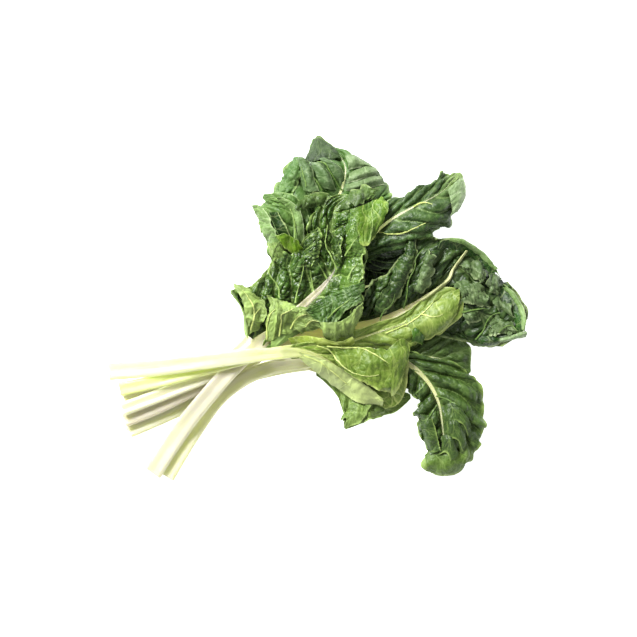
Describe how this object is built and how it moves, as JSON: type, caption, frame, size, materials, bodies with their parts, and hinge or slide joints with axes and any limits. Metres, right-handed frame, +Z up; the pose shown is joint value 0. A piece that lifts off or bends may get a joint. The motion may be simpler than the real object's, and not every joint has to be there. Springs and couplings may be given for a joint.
{
  "type": "chard bunch",
  "caption": "Loose bunch of fresh green chard lying flat: pale fleshy stalks crossing in a fan at one end, and broad quilted wavy-edged leaf blades lying over each other at the other.",
  "frame": {"origin": "middle of the footprint of the bounding box, on the surface that the bunch lies on", "axes": "+Z up from the surface; +X along the bunch, from the cut stalk ends to the leaf tips"},
  "size_m": [0.4194, 0.3464, 0.0484],
  "materials": {
    "pale_stalk": "pale cream-green fleshy stalk, satin and faintly ribbed",
    "dark_leaf": "dark green blistered leaf with a waxy sheen",
    "mid_leaf": "mid grey-green quilted leaf, duller than the dark ones",
    "young_leaf": "smooth yellow-green young leaf"
  },
  "bodies": {
    "root": {"leaf_middle_right_stalk": "pale_stalk", "leaf_middle_right_blade": "mid_leaf", "leaf_lower_stalk": "pale_stalk", "leaf_lower_blade": "young_leaf", "leaf_top_stalk": "pale_stalk", "leaf_top_blade": "mid_leaf", "leaf_upper_left_stalk": "pale_stalk", "leaf_upper_left_blade": "mid_leaf", "leaf_inner_stalk": "pale_stalk", "leaf_inner_blade": "dark_leaf", "leaf_lower_right_stalk": "pale_stalk", "leaf_lower_right_blade": "dark_leaf", "leaf_right_stalk": "pale_stalk", "leaf_right_blade": "dark_leaf", "leaf_upper_right_stalk": "pale_stalk", "leaf_upper_right_blade": "dark_leaf", "leaf_left_stalk": "pale_stalk", "leaf_left_blade": "dark_leaf", "leaf_young_back_stalk": "pale_stalk", "leaf_young_back_blade": "young_leaf", "leaf_young_front_stalk": "pale_stalk", "leaf_young_front_blade": "young_leaf"}
  },
  "joints": []
}
